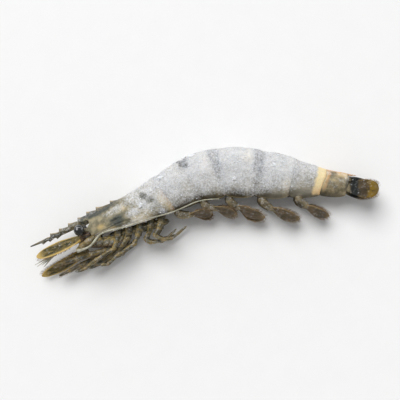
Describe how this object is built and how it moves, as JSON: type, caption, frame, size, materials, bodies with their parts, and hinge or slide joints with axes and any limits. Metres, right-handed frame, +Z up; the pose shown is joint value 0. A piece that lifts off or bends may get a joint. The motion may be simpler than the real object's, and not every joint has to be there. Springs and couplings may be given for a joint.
{
  "type": "raw tiger prawn",
  "caption": "Whole raw tiger prawn, head and shell on, frosted from the freezer, gently arched and lying on its side.",
  "frame": {"origin": "bottom centre of the prawn's box, on the surface it lies on", "axes": "+X from the head to the tail, +Y towards the prawn's back, +Z up, out of its left side"},
  "size_m": [0.1476, 0.0396, 0.0182],
  "materials": {
    "frosted_shell": "banded shell under a rough coat of white frost",
    "head_shell": "tan and cream shell with grey blotches, thin frost",
    "tail_shell": "wet translucent olive shell with a peach crest",
    "tail_fan": "wet brown blades with a dark band and a golden edge",
    "limbs": "wet olive brown skin with pale rings",
    "whisker": "pale grey horn",
    "scale_blade": "thin amber blade with a yellow edge",
    "eye": "glossy black"
  },
  "bodies": {
    "root": {"carapace": "head_shell", "left_eye": "eye", "right_eye": "eye", "mouthparts": "limbs", "left_antennal_scale": "scale_blade", "right_antennal_scale": "scale_blade", "left_antennule": "limbs", "left_third_maxilliped": "limbs", "left_antenna": "whisker", "right_antennule": "limbs", "right_third_maxilliped": "limbs", "right_antenna": "whisker", "left_walking_leg_1": "limbs", "right_walking_leg_1": "limbs", "left_walking_leg_2": "limbs", "right_walking_leg_2": "limbs", "left_walking_leg_3": "limbs", "right_walking_leg_3": "limbs", "left_walking_leg_4": "limbs", "right_walking_leg_4": "limbs", "left_walking_leg_5": "limbs", "right_walking_leg_5": "limbs", "abdomen_segment_1": "frosted_shell", "abdomen_segment_2": "frosted_shell", "abdomen_segment_3": "frosted_shell", "abdomen_segment_4": "frosted_shell", "abdomen_segment_5": "frosted_shell", "abdomen_segment_6": "tail_shell", "left_swimmeret_1": "limbs", "right_swimmeret_1": "limbs", "left_swimmeret_2": "limbs", "right_swimmeret_2": "limbs", "left_swimmeret_3": "limbs", "right_swimmeret_3": "limbs", "left_swimmeret_4": "limbs", "right_swimmeret_4": "limbs", "left_swimmeret_5": "limbs", "right_swimmeret_5": "limbs", "telson": "tail_fan", "left_outer_uropod": "tail_fan", "left_inner_uropod": "tail_fan", "right_outer_uropod": "tail_fan", "right_inner_uropod": "tail_fan"}
  },
  "joints": []
}
